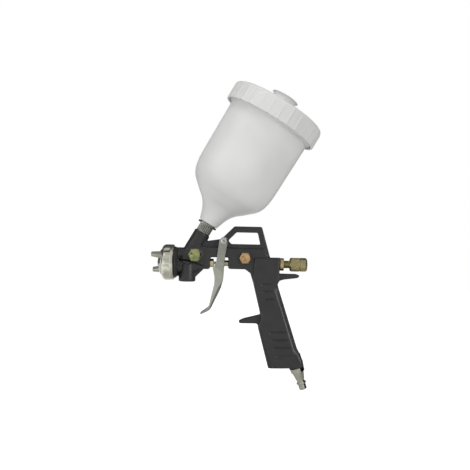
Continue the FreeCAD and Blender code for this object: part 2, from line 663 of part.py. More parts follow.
def main():
    os.makedirs("parts", exist_ok=True)
    save(gun_body(), "gun_body")
    save(fluid_nozzle(), "fluid_nozzle")
    save(nozzle_gasket(), "nozzle_gasket")
    save(air_cap(), "air_cap")
    save(retaining_ring(), "retaining_ring")
    save(cap_seal(), "cap_seal")
    front = side_plug(12.7, -14.6, 4.95, -4.4, -10.0, 35)
    save(along_y(front, FRONT_PLUG), "front_passage_plug")
    save(along_y(ring_washer(5.0, 6.6, -9.97, -9.23), FRONT_PLUG), "front_plug_washer")
    rear = side_plug(11.2, -12.2, 3.85, -4.0, -BODY_HALF - 0.02, 0)
    save(along_y(rear, REAR_PLUG), "rear_passage_plug")
    save(needle_packing(), "needle_packing")
    save(packing_nut(), "packing_nut")
    save(air_valve_bush(), "air_valve_bush")
    save(air_valve_packing(), "air_valve_packing")
    save(air_valve_stem(), "air_valve_stem")
    save(air_valve_seal(), "air_valve_seal")
    save(on_needle(coil(5.2, 0.9, SEAT_X + 3.05, 22.15, 7)), "air_valve_spring")
    save(fluid_needle(), "fluid_needle")
    save(needle_collar(), "needle_collar")
    save(on_needle(coil(2.35, 0.6, 16.05, 56.95, 22)), "needle_spring")
    save(adjuster_housing(), "adjuster_housing")
    save(adjuster_gasket(), "adjuster_gasket")
    save(fluid_knob(), "fluid_knob")
    save(spring_seat(), "spring_seat")
    save(trigger(), "trigger")
    save(trigger_pin(), "trigger_pin")
    save(trigger_pin_clip(), "trigger_pin_clip")
    save(trigger_washers(), "trigger_washers")
    save(air_plug(), "air_plug")
    save(air_plug_seal(), "air_plug_seal")
    save(cup_adapter(), "cup_adapter")
    save(cup_gasket(), "cup_gasket")
    save(cup_strainer(), "cup_strainer")
    save(cup(), "cup")
    save(lid_gasket(), "lid_gasket")
    save(lid(), "lid")
    save(vent_cap(), "vent_cap")


main()
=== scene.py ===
import bpy
import bmesh
import json
import math
import numpy as np
from mathutils import Matrix, Vector


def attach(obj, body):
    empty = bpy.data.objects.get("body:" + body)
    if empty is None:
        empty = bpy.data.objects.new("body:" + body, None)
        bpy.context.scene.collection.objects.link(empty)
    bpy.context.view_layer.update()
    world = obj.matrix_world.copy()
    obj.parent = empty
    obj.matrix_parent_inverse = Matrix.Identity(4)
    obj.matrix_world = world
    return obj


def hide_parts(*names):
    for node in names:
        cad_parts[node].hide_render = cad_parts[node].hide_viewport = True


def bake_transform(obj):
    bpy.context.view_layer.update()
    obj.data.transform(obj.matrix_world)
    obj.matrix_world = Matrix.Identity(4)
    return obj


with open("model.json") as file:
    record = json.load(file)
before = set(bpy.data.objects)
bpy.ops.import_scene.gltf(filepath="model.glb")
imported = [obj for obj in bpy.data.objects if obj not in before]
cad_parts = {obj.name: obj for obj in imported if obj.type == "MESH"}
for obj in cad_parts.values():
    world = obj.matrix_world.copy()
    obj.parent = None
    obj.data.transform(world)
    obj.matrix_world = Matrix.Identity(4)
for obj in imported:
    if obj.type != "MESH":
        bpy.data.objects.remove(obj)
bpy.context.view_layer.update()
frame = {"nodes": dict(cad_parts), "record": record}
NODES = frame["nodes"]
BODY_OF = {node: body for body, nodes in frame["record"]["behaviour"]["bodies"].items() for node in nodes}
MM = 0.001


# ------------------------------------------------------------ axes of the turned parts, in mm

def axis_frame(foot, direction):
    """Frame of a turned part: its z runs along the part's axis and starts at the foot."""
    turn = Vector((0, 0, 1)).rotation_difference(Vector(direction))
    return Matrix.Translation(Vector(foot) * MM) @ turn.to_matrix().to_4x4()


NEEDLE_Z = -32.5
NEEDLE = axis_frame((0, 0, NEEDLE_Z), (1, 0, 0))
STEM = axis_frame((-65, 0, NEEDLE_Z), (0.504, 0, 0.8637))
INLET = axis_frame((55, 0, -139.8), (0.3170, 0, -0.9484))
PIN = axis_frame((-23.6, 0, -9.0), (0, 1, 0))
FRONT_PLUG = axis_frame((-53.6, 0, -24.2), (0, 1, 0))
REAR_PLUG = axis_frame((-1.2, 0, -26.5), (0, 1, 0))


# ------------------------------------------------------------ node graphs

class Graph:
    """A material's nodes, with short calls for the ones used here."""

    def __init__(self, name):
        self.material = bpy.data.materials.new(name)
        self.material.use_nodes = True
        self.tree = self.material.node_tree
        self.shader = self.tree.nodes["Principled BSDF"]
        self.place = self.node("ShaderNodeTexCoord").outputs["Object"]

    @classmethod
    def of(cls, tree):
        """Graph over a tree that isn't a material's, such as the world's."""
        made = cls.__new__(cls)
        made.tree = tree
        return made

    def node(self, kind, **values):
        made = self.tree.nodes.new(kind)
        for key, value in values.items():
            setattr(made, key, value)
        return made

    def put(self, socket, value):
        if isinstance(value, bpy.types.NodeSocket):
            self.tree.links.new(value, socket)
        else:
            socket.default_value = value

    def math(self, operation, a, b=0.0):
        made = self.node("ShaderNodeMath", operation=operation)
        self.put(made.inputs[0], a)
        self.put(made.inputs[1], b)
        return made.outputs[0]

    def vector(self, operation, a, b=(0, 0, 0)):
        made = self.node("ShaderNodeVectorMath", operation=operation)
        self.put(made.inputs[0], a)
        self.put(made.inputs[1], b)
        return made.outputs["Value" if operation in ("DOT_PRODUCT", "LENGTH") else "Vector"]

    def split(self, vector):
        made = self.node("ShaderNodeSeparateXYZ")
        self.put(made.inputs[0], vector)
        return made.outputs

    def noise(self, scale, detail=3.0, rough=0.55, at=None, distortion=0.0):
        """Noise with features of about 1 / scale metres."""
        made = self.node("ShaderNodeTexNoise")
        self.put(made.inputs["Vector"], at or self.place)
        made.inputs["Scale"].default_value = scale
        made.inputs["Detail"].default_value = detail
        made.inputs["Roughness"].default_value = rough
        made.inputs["Distortion"].default_value = distortion
        return made.outputs["Fac"]

    def span(self, value, a, b, lo=0.0, hi=1.0):
        """value from a..b onto lo..hi, clamped."""
        made = self.node("ShaderNodeMapRange")
        self.put(made.inputs["Value"], value)
        for key, number in zip(("From Min", "From Max", "To Min", "To Max"), (a, b, lo, hi)):
            self.put(made.inputs[key], number)
        return made.outputs["Result"]

    def mix(self, share, a, b):
        made = self.node("ShaderNodeMix", data_type="RGBA")
        self.put(made.inputs[0], share)
        for socket, value in ((made.inputs[6], a), (made.inputs[7], b)):
            self.put(socket, (*value, 1) if isinstance(value, tuple) else value)
        return made.outputs[2]

    def bump(self, height, distance, strength=1.0, below=None):
        made = self.node("ShaderNodeBump")
        made.inputs["Strength"].default_value = strength
        made.inputs["Distance"].default_value = distance
        self.put(made.inputs["Height"], height)
        if below is not None:
            self.put(made.inputs["Normal"], below)
        return made.outputs["Normal"]

    def pointiness(self, a, b, most=1.0):
        """0..most as the surface goes from a to b: creases are below 0.5 and outer edges above it."""
        raw = self.node("ShaderNodeNewGeometry").outputs["Pointiness"]
        return self.math("MULTIPLY", self.span(raw, a, b), most)

    def set(self, **values):
        """Sets the Principled shader's inputs by name, and gives the material."""
        for key, value in values.items():
            name = key.replace("_", " ")
            if isinstance(value, tuple) and len(value) == 3 and "Color" in name:
                value = (*value, 1)
            self.put(self.shader.inputs[name], value)
        return self.material


def scaled(colour, k):
    return tuple(c * k for c in colour)


def around(g, axis):
    """Coordinates along an axis and away from it, so that noise on them makes machining rings."""
    foot = axis.translation
    along = axis.to_3x3() @ Vector((0, 0, 1))
    offset = g.vector("SUBTRACT", g.place, tuple(foot))
    u = g.vector("DOT_PRODUCT", offset, tuple(along))
    v = g.vector("LENGTH", g.vector("CROSS_PRODUCT", offset, tuple(along)))
    both = g.node("ShaderNodeCombineXYZ")
    g.put(both.inputs[0], u)
    g.put(both.inputs[1], v)
    return both.outputs[0]


# ------------------------------------------------------------ materials

def metal(name, colour, rough, axis=None, rings=0.0, peel=0.0, stain=0.12, tint=None, worn=0.0):
    """Plated or turned metal: mottled colour, painted shade in its creases, uneven gloss, tool rings about
    its axis.
    """
    g = Graph(name)
    cloud = g.noise(scale=140.0, detail=4.0)
    fine = g.noise(scale=900.0)
    darker = scaled(tint or colour, 1.0 - 2.2 * stain)
    base = g.mix(g.span(cloud, 0.3, 0.72), darker, colour)
    # painted shade: creases and recesses are darkened to a quarter of the metal's colour
    base = g.mix(g.pointiness(0.495, 0.44, most=0.55), base, scaled(colour, 0.25))
    if worn:
        base = g.mix(g.pointiness(0.52, 0.58, most=worn), base, scaled(colour, 1.25))
    gloss = g.math("ADD", g.span(cloud, 0.3, 0.75, -0.05, 0.06), g.span(fine, 0.3, 0.7, -0.03, 0.03))
    normal = g.bump(g.noise(scale=2600.0, detail=2.0), distance=0.00002, strength=0.25)
    if peel:
        normal = g.bump(g.noise(scale=420.0), 0.0003, peel, normal)
    if rings:
        lines = g.noise(scale=4200.0, detail=2.0, rough=0.6, at=around(g, axis))
        normal = g.bump(lines, 0.00006, rings, normal)
        gloss = g.math("ADD", gloss, g.span(lines, 0.35, 0.65, -0.04, 0.04))
    return g.set(Base_Color=base, Metallic=1.0, Roughness=g.math("ADD", gloss, rough), Normal=normal)


def casting_coat():
    """Satin dark coating over a die casting: orange peel, faint mottling, rubbed edges, painted shade in its
    creases, parting line.
    """
    g = Graph("casting_coat")
    cloud = g.noise(scale=55.0, detail=5.0, rough=0.6)
    base = g.mix(g.span(cloud, 0.3, 0.7), (0.0170, 0.0167, 0.0174), (0.0240, 0.0235, 0.0244))
    speck = g.span(g.noise(scale=2300.0, detail=2.0), 0.64, 0.74)
    base = g.mix(g.math("MULTIPLY", speck, 0.35), base, (0.060, 0.060, 0.062))
    patchy = g.span(g.noise(scale=160.0, detail=4.0), 0.42, 0.62)
    rubbed = g.math("MULTIPLY", g.pointiness(0.525, 0.60, most=0.35), patchy)
    base = g.mix(rubbed, base, (0.115, 0.113, 0.110))
    # painted shade: creases and recesses are darkened almost to black
    base = g.mix(g.pointiness(0.47, 0.40, most=0.5), base, (0.010, 0.010, 0.011))
    grain = g.span(g.noise(scale=700.0), 0.3, 0.7, -0.03, 0.03)
    rough = g.math("ADD", g.span(cloud, 0.3, 0.7, 0.33, 0.43), grain)
    seam = g.span(g.math("ABSOLUTE", g.split(g.place)["Y"]), 0.00035, 0.00015)
    normal = g.bump(seam, distance=0.0001, strength=0.5)
    normal = g.bump(g.noise(scale=1150.0, rough=0.5), 0.00012, 0.28, normal)
    return g.set(Base_Color=base, Roughness=rough, Normal=normal, Specular_IOR_Level=0.46)


def moulded(name, colour, rough, glow):
    """Moulded plastic: slight flow marks, painted shade in its creases, soft gloss, and glow, the share of
    light that passes through.
    """
    g = Graph(name)
    cloud = g.noise(scale=26.0, detail=1.5, rough=0.5, distortion=0.6)
    base = g.mix(g.span(cloud, 0.3, 0.7), scaled(colour, 0.94), colour)
    # painted shade: creases between the moulded parts are darkened to 0.62 of the plastic's colour
    base = g.mix(g.pointiness(0.45, 0.38, most=0.4), base, scaled(colour, 0.62))
    gloss = g.span(g.noise(scale=320.0), 0.3, 0.7, rough - 0.015, rough + 0.02)
    normal = g.bump(g.noise(scale=60.0, detail=2.0), distance=0.0004, strength=0.03)
    normal = g.bump(g.noise(scale=1500.0, detail=2.0), 0.00004, 0.08, normal)
    material = g.set(Base_Color=base, Roughness=gloss, Normal=normal, Specular_IOR_Level=0.5)
    through = g.node("ShaderNodeBsdfTranslucent")
    g.put(through.inputs["Color"], base)
    g.put(through.inputs["Normal"], normal)
    both = g.node("ShaderNodeMixShader")
    both.inputs[0].default_value = glow
    g.put(both.inputs[1], g.shader.outputs[0])
    g.put(both.inputs[2], through.outputs[0])
    g.put(g.tree.nodes["Material Output"].inputs["Surface"], both.outputs[0])
    return material


def dull(name, colour, rough, grain=900.0, depth=0.35):
    """Fibre, rubber, nylon or foam: speckled colour and a grained surface."""
    g = Graph(name)
    spots = g.noise(grain, detail=4.0, rough=0.65)
    base = g.mix(g.span(spots, 0.3, 0.7), scaled(colour, 0.72), scaled(colour, 1.1))
    return g.set(Base_Color=base, Roughness=g.span(spots, 0.3, 0.7, rough - 0.1, rough + 0.08),
                 Normal=g.bump(spots, 0.0001, depth))


def smooth_white(name, colour):
    """White plastic seal, smoother than fibre or rubber."""
    return dull(name, colour, 0.45, grain=500.0, depth=0.15)


MATERIALS = {
    "gun_body": casting_coat(),
    "retaining_ring": metal("ring_nickel", (0.92, 0.91, 0.77), 0.17, NEEDLE,
                            rings=0.25, peel=0.25, stain=0.15, worn=0.2),
    "air_cap": metal("cap_nickel", (0.66, 0.66, 0.57), 0.12, NEEDLE, rings=0.25, peel=0.12, stain=0.14),
    "air_plug": metal("plug_nickel", (0.78, 0.78, 0.66), 0.12, INLET, rings=0.3, worn=0.2),
    "trigger": metal("trigger_chrome", (0.47, 0.48, 0.41), 0.17, peel=0.04, stain=0.08, worn=0.1),
    "front_passage_plug": metal("plug_zinc", (0.50, 0.51, 0.25), 0.18, FRONT_PLUG,
                                rings=0.5, peel=0.3, stain=0.22, tint=(0.36, 0.42, 0.15), worn=0.5),
    "rear_passage_plug": metal("plug_brass", (0.76, 0.53, 0.27), 0.30, REAR_PLUG,
                               rings=0.5, peel=0.15, stain=0.14, tint=(0.70, 0.42, 0.22), worn=0.2),
    "fluid_knob": metal("knob_brass", (0.60, 0.52, 0.27), 0.30, NEEDLE, rings=0.5, stain=0.14, worn=0.35),
    "adjuster_housing": metal("housing_brass", (0.68, 0.57, 0.30), 0.24, NEEDLE, rings=0.5, worn=0.2),
    "packing_nut": metal("nut_brass", (0.82, 0.74, 0.46), 0.20, NEEDLE, rings=0.4, stain=0.10, worn=0.2),
    "air_valve_bush": metal("bush_brass", (0.70, 0.58, 0.31), 0.26, NEEDLE, rings=0.4),
    "air_valve_stem": metal("stem_brass", (0.80, 0.72, 0.45), 0.20, NEEDLE, rings=0.4, stain=0.10),
    "needle_collar": metal("collar_brass", (0.66, 0.54, 0.28), 0.30, NEEDLE, rings=0.4),
    "cup_adapter": metal("adapter_steel", (0.46, 0.46, 0.42), 0.26, STEM, rings=0.4, stain=0.16, worn=0.6),
    "fluid_nozzle": metal("nozzle_steel", (0.56, 0.56, 0.55), 0.22, NEEDLE, rings=0.4),
    "fluid_needle": metal("needle_steel", (0.60, 0.60, 0.60), 0.16, NEEDLE, rings=0.3),
    "front_plug_washer": metal("washer_steel", (0.50, 0.50, 0.44), 0.34, FRONT_PLUG, rings=0.5),
    "trigger_pin": metal("pin_steel", (0.74, 0.75, 0.72), 0.14, PIN, rings=0.2, stain=0.10, worn=0.2),
    "trigger_pin_clip": metal("clip_steel", (0.42, 0.42, 0.42), 0.30, PIN, rings=0.2, peel=0.1),
    "spring_seat": metal("seat_steel", (0.52, 0.52, 0.52), 0.3, NEEDLE, rings=0.4),
    "air_valve_spring": metal("valve_spring_steel", (0.50, 0.50, 0.51), 0.24, peel=0.1),
    "needle_spring": metal("needle_spring_steel", (0.50, 0.50, 0.51), 0.24, peel=0.1),
    "nozzle_gasket": dull("nozzle_fibre", (0.36, 0.14, 0.08), 0.7),
    "adjuster_gasket": dull("adjuster_fibre", (0.22, 0.075, 0.045), 0.6),
    "air_plug_seal": dull("inlet_seal", (0.045, 0.030, 0.024), 0.55),
    "air_valve_seal": dull("valve_rubber", (0.025, 0.025, 0.026), 0.6),
    "cap_seal": smooth_white("cap_seal_white", (0.78, 0.78, 0.74)),
    "needle_packing": smooth_white("needle_packing_white", (0.80, 0.80, 0.77)),
    "air_valve_packing": smooth_white("valve_packing_white", (0.80, 0.80, 0.77)),
    "trigger_washers": smooth_white("washer_white", (0.72, 0.72, 0.68)),
    "cup_gasket": smooth_white("gasket_white", (0.70, 0.70, 0.66)),
    "lid_gasket": dull("lid_foam", (0.76, 0.76, 0.74), 0.6, grain=1300.0, depth=0.5),
    "cup_strainer": dull("strainer_nylon", (0.82, 0.82, 0.79), 0.5, grain=2600.0, depth=0.6),
    "cup": moulded("cup_plastic", (0.815, 0.812, 0.790), 0.30, glow=0.12),
    "lid": moulded("lid_plastic", (0.775, 0.775, 0.757), 0.28, glow=0.10),
    "vent_cap": moulded("vent_plastic", (0.80, 0.80, 0.79), 0.34, glow=0.10),
}


# ------------------------------------------------------------ meshes

def finished(mesh, name, node, sharp=32.0, rides=True):
    """Makes a mesh the shown piece for a CAD node."""
    mesh.name = name
    mesh.polygons.foreach_set("use_smooth", [True] * len(mesh.polygons))
    mesh.set_sharp_from_angle(angle=math.radians(sharp))
    mesh.materials.clear()
    mesh.materials.append(MATERIALS[node])
    piece = bpy.data.objects.new(name, mesh)
    bpy.context.scene.collection.objects.link(piece)
    if rides:
        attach(piece, BODY_OF[node])
    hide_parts(node)
    return piece


def rounded(points, closed):
    """Outline of (along, radius, rounding) with its corners turned into short arcs."""
    most_of_run = 0.48
    degrees_a_step = 15
    out = []
    count = len(points)
    for i, point in enumerate(points):
        p = np.array(point[:2], float)
        fillet = point[2] if len(point) > 2 else 0.0
        ends = not closed and i in (0, count - 1)
        if fillet <= 0 or ends:
            out.append(p)
            continue
        a = np.array(points[i - 1][:2], float) - p
        b = np.array(points[(i + 1) % count][:2], float) - p
        la, lb = np.linalg.norm(a), np.linalg.norm(b)
        a, b = a / la, b / lb
        half = math.acos(max(-1.0, min(1.0, float(a @ b)))) / 2
        cut = min(fillet / math.tan(half), most_of_run * la, most_of_run * lb)
        real = cut * math.tan(half)
        start, end = p + a * cut, p + b * cut
        middle = p + (a + b) / np.linalg.norm(a + b) * (real / math.sin(half))
        sweep = math.pi - 2 * half
        steps = max(2, int(math.ceil(math.degrees(sweep) / degrees_a_step)))
        u, w = (start - middle) / real, (end - middle) / real
        for k in range(steps + 1):
            t = k / steps
            way = (math.sin((1 - t) * sweep) * u + math.sin(t * sweep) * w) / math.sin(sweep)
            out.append(middle + real * way)
    return out


def divided(line, fine, closed):
    """Outline with points added so that they are about fine apart."""
    dense = []
    for i, p in enumerate(line):
        dense.append(p)
        if not closed and i == len(line) - 1:
            break
        q = line[(i + 1) % len(line)]
        steps = int(np.linalg.norm(q - p) / fine)
        dense.extend(p + (q - p) * k / (steps + 1) for k in range(1, steps + 1))
    return dense


def lathe(points, axis, segments=96, form=None, fine=0.0, closed=True, turn=0.0):
    """Mesh turned about an axis; form(radius, along, angle) may shape the radius, such as a thread."""
    line = rounded(points, closed)
    if fine:
        line = divided(line, fine, closed)
    z = np.array([p[0] for p in line])
    r = np.array([p[1] for p in line])
    angle = np.linspace(0, 2 * math.pi, segments, endpoint=False) + turn
    zz = np.repeat(z[:, None], segments, 1)
    aa = np.repeat(angle[None, :], len(z), 0)
    rr = np.repeat(r[:, None], segments, 1)
    if form is not None:
        rr = form(rr, zz, aa)
    grid = np.stack([rr * np.cos(aa), rr * np.sin(aa), zz], -1) * MM
    matrix = np.array(axis)
    grid = grid @ matrix[:3, :3].T + matrix[:3, 3]
    bm = bmesh.new()
    rows = []
    for i in range(len(z)):
        on_axis = r[i] < 1e-6
        rows.append([bm.verts.new(grid[i, j]) for j in range(1 if on_axis else segments)])
    last = len(rows) if closed else len(rows) - 1
    for i in range(last):
        a, b = rows[i], rows[(i + 1) % len(rows)]
        if len(a) == 1 and len(b) == 1:
            continue
        for j in range(segments):
            k = (j + 1) % segments
            if len(a) == 1:
                bm.faces.new((a[0], b[j], b[k]))
            elif len(b) == 1:
                bm.faces.new((a[j], b[0], a[k]))
            else:
                bm.faces.new((a[j], b[j], b[k], a[k]))
    return meshed(bm, "lathe")


def meshed(bm, name):
    bmesh.ops.recalc_face_normals(bm, faces=bm.faces)
    mesh = bpy.data.meshes.new(name)
    bm.to_mesh(mesh)
    bm.free()
    return mesh


def turned(name, node, points, axis, segments=96, form=None, sharp=32.0, **how):
    """Shown piece for a CAD node, turned from its outline in mm: (along the axis, radius, rounding)."""
    return finished(lathe(points, axis, segments, form, **how), name, node, sharp)


def remeshed(node, voxel, rounds, most, change):
    """The CAD node's shape with softened edges, as a casting or pressing has, and then changed by change.
    It keeps to about most triangles."""
    thing = bpy.data.objects.new("remesh", NODES[node].data.copy())
    bpy.context.scene.collection.objects.link(thing)
    voxels = thing.modifiers.new("voxels", "REMESH")
    voxels.mode = "VOXEL"
    voxels.voxel_size = voxel * MM
    soft = thing.modifiers.new("soft", "SMOOTH")
    soft.factor = 0.5
    soft.iterations = rounds
    made = evaluated(thing)
    move_points(made, change)
    triangles = 2 * len(made.polygons)
    if triangles > most:
        thing.modifiers.clear()
        thing.data = made
        fewer = thing.modifiers.new("fewer", "DECIMATE")
        fewer.ratio = most / triangles
        made = evaluated(thing)
    bpy.data.objects.remove(thing)
    return made


def evaluated(thing):
    """Mesh of an object after its modifiers."""
    graph = bpy.context.evaluated_depsgraph_get()
    return bpy.data.meshes.new_from_object(thing.evaluated_get(graph), depsgraph=graph)


def move_points(mesh, change):
    """Applies change(points in mm) to a mesh's vertices."""
    flat = np.empty(len(mesh.vertices) * 3, np.float32)
    mesh.vertices.foreach_get("co", flat)
    points = change(flat.reshape(-1, 3).astype(float) / MM) * MM
    mesh.vertices.foreach_set("co", points.astype(np.float32).ravel())
    mesh.update()


# ------------------------------------------------------------ forms

def ease(x, a, b):
    """0 before a and 1 after b, with a smooth rise between."""
    t = np.clip((x - a) / (b - a), 0, 1)
    return t * t * (3 - 2 * t)


def sector(angle, count):
    """Angle from the middle of the sector that it lies in, of count equal ones."""
    return np.mod(angle, 2 * math.pi / count) - math.pi / count


def within(z, start, end, run):
    """1 between start and end, falling to 0 over a run at each."""
    return np.clip(np.minimum(z - start, end - z) / run, 0, 1)


def thread(z, angle, pitch):
    """A screw thread's height, 0 to 1."""
    return 0.5 + 0.5 * np.cos(2 * math.pi * (z / pitch - angle / (2 * math.pi)))


def hexed(flats):
    """Keeps a turned form within a hexagon of this size across flats, its corners slightly blunt."""
    blunt = 0.12
    corner = flats / 2 / math.cos(math.pi / 6) - blunt

    def form(r, z, a):
        return np.minimum(r, np.minimum(flats / 2 / np.cos(sector(a, 6)), corner))
    return form


# ------------------------------------------------------------ casting

# The middle of the bevel along the grip's back as (x, z), and the grip's grooves as (front x, rear x, z).
BEVEL = np.array([(26.0, -47.0), (30.3, -59.7), (37.1, -78.1), (45.9, -106.6), (51.9, -124.3)])
GROOVES = [(16.0, 24.5, -53.6), (15.8, 28.0, -61.4), (18.6, 28.6, -69.3), (26.0, 42.4, -103.5),
           (28.0, 44.6, -111.3), (30.3, 46.8, -119.7), (31.0, 40.0, -130.5)]
GROOVE_DEPTH, GROOVE_WIDTH, GROOVE_SLANT = 0.32, 0.75, 0.02
HOLLOW_DEPTH, BEVEL_DEPTH = 0.36, 1.15
# The gap between the air tube and the paint tube under it: its line, and its depth along x.
GAP_X, GAP_Z = [-74.0, -62.7, -56.4, -51.2, -43.8], [-29.7, -30.0, -31.3, -33.2, -35.7]
GAP_END_X, GAP_DEPTH = [-73.6, -72.8, -60.0, -46.0, -43.0], [0.0, 2.2, 2.0, 0.8, 0.0]
GAP_WIDTH = 0.75


def grip_cut(x, z):
    """Depth cut from the grip's sides: a shallow hollow, the bevel along its back, and short grooves."""
    lean = 0.948  # cosine of the bevel's slant
    off = (x - np.interp(-z, -BEVEL[:, 1], BEVEL[:, 0])) * lean
    ends = ease(z, -127.0, -121.0) * ease(-z, 52.0, 64.0)
    hollow = np.clip((off + 15.0) / 8.6, 0, 1) * (1 - ease(off, -6.5, -5.8))
    cut = (HOLLOW_DEPTH * hollow + BEVEL_DEPTH * ease(off, -1.6, 2.6)) * ends
    for front, rear, height in GROOVES:
        across = np.abs(z - height - GROOVE_SLANT * (x - front)) / GROOVE_WIDTH
        along = ease(x, front - 0.6, front + 0.6) * (1 - ease(x, rear - 0.6, rear + 0.6))
        cut = cut + GROOVE_DEPTH * np.exp(-across ** 2) * along
    return cut


def relief(points):
    """Cuts the grip's relief into the casting's sides, and the gap between its two tubes."""
    x, y, z = points.T
    flank = ease(np.abs(y), 8.6, 9.6)
    gap = np.interp(x, GAP_END_X, GAP_DEPTH) * np.exp(-((z - np.interp(x, GAP_X, GAP_Z)) / GAP_WIDTH) ** 2)
    gap = gap * ease(np.abs(y), 3.6, 5.0)
    points[:, 1] = y - np.sign(y) * (flank * grip_cut(x, z) + gap)
    return points


casting = remeshed("gun_body", voxel=0.42, rounds=5, most=190000, change=relief)
finished(casting, "casting", "gun_body", sharp=60.0)


# ------------------------------------------------------------ collar and air cap

FLUTES = 12
FLUTE_RADIUS, FLUTE_CENTRE = 9.5, 27.2
COLLAR_BORE = 15.97


def fluted(r, z, a):
    """Cuts round flutes into the collar's rim, and fades them out at its flange."""
    turn = sector(a, FLUTES)
    aside = FLUTE_CENTRE * np.sin(turn)
    hollow = FLUTE_CENTRE * np.cos(turn) - np.sqrt(np.maximum(FLUTE_RADIUS ** 2 - aside ** 2, 0))
    cut = np.where(np.abs(aside) < FLUTE_RADIUS, np.minimum(r, hollow), r)
    return r + (cut - r) * np.clip((-79.2 - z) / 0.5, 0, 1)


turned("collar", "retaining_ring", [
    (-88.0, 14.0, 0.2), (-88.0, 15.3, 0.35), (-87.3, 16.7, 0.6), (-85.9, 17.9, 0.8), (-84.3, 18.5, 0.6),
    (-76.5, 18.5, 0.35), (-75.8, 17.9, 0.2), (-75.8, COLLAR_BORE), (-86.8, COLLAR_BORE), (-86.8, 14.0, 0.1),
], NEEDLE, segments=384, form=fluted, sharp=40.0, fine=0.45)


HORN_TIPS_X = -98.99


def held_back(points):
    """Keeps the horn tips inside the CAD part's box."""
    points[:, 0] = np.maximum(points[:, 0], HORN_TIPS_X)
    return points


horned_cap = remeshed("air_cap", voxel=0.2, rounds=5, most=120000, change=held_back)
finished(horned_cap, "horned_cap", "air_cap", sharp=50.0)


# ------------------------------------------------------------ side plugs

turned("front_hex_plug", "front_passage_plug", [
    (-13.4, 0), (-13.5, 1.4), (-14.6, 4.9, 0.3), (-14.6, 5.6, 0.4), (-13.1, 7.35, 0.4), (-10.0, 7.4, 0.2),
    (-10.0, 4.95), (-4.4, 4.95, 0.4), (-4.4, 0),
], FRONT_PLUG, segments=240, form=hexed(12.7), sharp=25.0, fine=0.5, closed=False, turn=math.radians(5))
turned("plug_washer", "front_plug_washer", [
    (-9.97, 5.0, 0.1), (-9.97, 6.6, 0.2), (-9.23, 6.6, 0.2), (-9.23, 5.0, 0.1),
], FRONT_PLUG)
turned("rear_hex_plug", "rear_passage_plug", [
    (-11.4, 0), (-11.5, 1.2), (-12.2, 4.2, 0.3), (-12.2, 4.9, 0.4), (-10.8, 6.45, 0.4), (-8.22, 6.5, 0.2),
    (-8.22, 3.85), (-4.0, 3.85, 0.4), (-4.0, 0),
], REAR_PLUG, segments=240, form=hexed(11.2), sharp=25.0, fine=0.5, closed=False)


# ------------------------------------------------------------ packing nut, air valve and needle

turned("gland_nut", "packing_nut", [
    (-41.5, 1.7), (-41.5, 3.95, 0.2), (-37.7, 3.95), (-37.7, 4.55, 0.3), (-34.7, 4.6, 0.3), (-34.2, 3.8, 0.3),
    (-34.2, 1.7),
], NEEDLE, segments=180, form=hexed(8.0), fine=0.5)
turned("valve_bush", "air_valve_bush", [
    (-18.9, 3.15), (-18.9, 5.0, 0.3), (-11.2, 5.0, 0.2), (-11.2, 4.4), (-14.6, 4.4), (-14.6, 3.15),
], NEEDLE)
turned("valve_stem", "air_valve_stem", [
    (-29.3, 1.55, 0.1), (-29.3, 3.4, 0.4), (-27.6, 3.4, 0.3), (-27.6, 3.1), (-3.5, 3.1, 0.2), (-3.5, 2.5),
    (4.6, 2.5), (4.6, 5.6, 0.2), (6.0, 5.6, 0.2), (6.0, 3.2), (9.0, 3.2, 0.2), (9.0, 1.55),
], NEEDLE)
turned("paint_needle", "fluid_needle", [
    (-93.5, 0), (-93.5, 0.35, 0.1), (-89.4, 1.5, 0.5), (44.0, 1.5, 0.2), (44.0, 0),
], NEEDLE, segments=48, closed=False)


# ------------------------------------------------------------ fluid adjuster

SHANK_RADIUS, SHANK_THREAD, SHANK_PITCH = 4.1, 0.4, 1.0
KNURLS, KNURL_DEPTH, KNURL_TWIST = 24, 0.42, math.radians(16)
KNURL_START, KNURL_RUN = 46.8, 8.3


def knurled(r, z, a):
    """Cuts slanting knurls into the knob's grip, and the thread into its shank."""
    crest = 0.5 + 0.5 * np.cos(KNURLS * (a - KNURL_TWIST * (z - KNURL_START) / KNURL_RUN))
    knurl = KNURL_DEPTH * (1 - crest) ** 2 * within(z, 46.6, 55.2, 0.5)
    r = np.where(r > 7.0, r - knurl, r)
    lines = SHANK_THREAD * thread(z, a, SHANK_PITCH) * within(z, 31.5, 45.2, 0.5)
    return np.where(np.abs(r - SHANK_RADIUS) < 0.01, r - lines, r)


turned("adjuster_nut", "adjuster_housing", [
    (22.2, 4.15), (22.2, 6.3, 0.3), (24.2, 6.5), (35.2, 6.5, 0.15), (35.2, 6.2), (35.6, 6.6, 0.25),
    (38.8, 6.6, 0.4), (39.2, 6.2, 0.2), (39.2, 4.15),
], NEEDLE, segments=160)
turned("adjuster_knob", "fluid_knob", [
    (31.0, 2.9), (31.0, SHANK_RADIUS), (45.5, SHANK_RADIUS), (45.5, 6.2, 0.15), (46.6, 7.2, 0.4),
    (55.3, 7.2, 0.15), (55.6, 6.8), (56.0, 6.8), (56.3, 7.2, 0.15), (61.8, 7.2, 0.7), (63.0, 6.5, 0.6),
    (63.6, 5.2, 0.5), (63.6, 0), (58.3, 0), (58.3, 2.9),
], NEEDLE, segments=288, form=knurled, sharp=30.0, fine=0.2, closed=False)


# ------------------------------------------------------------ trigger and pivot screw

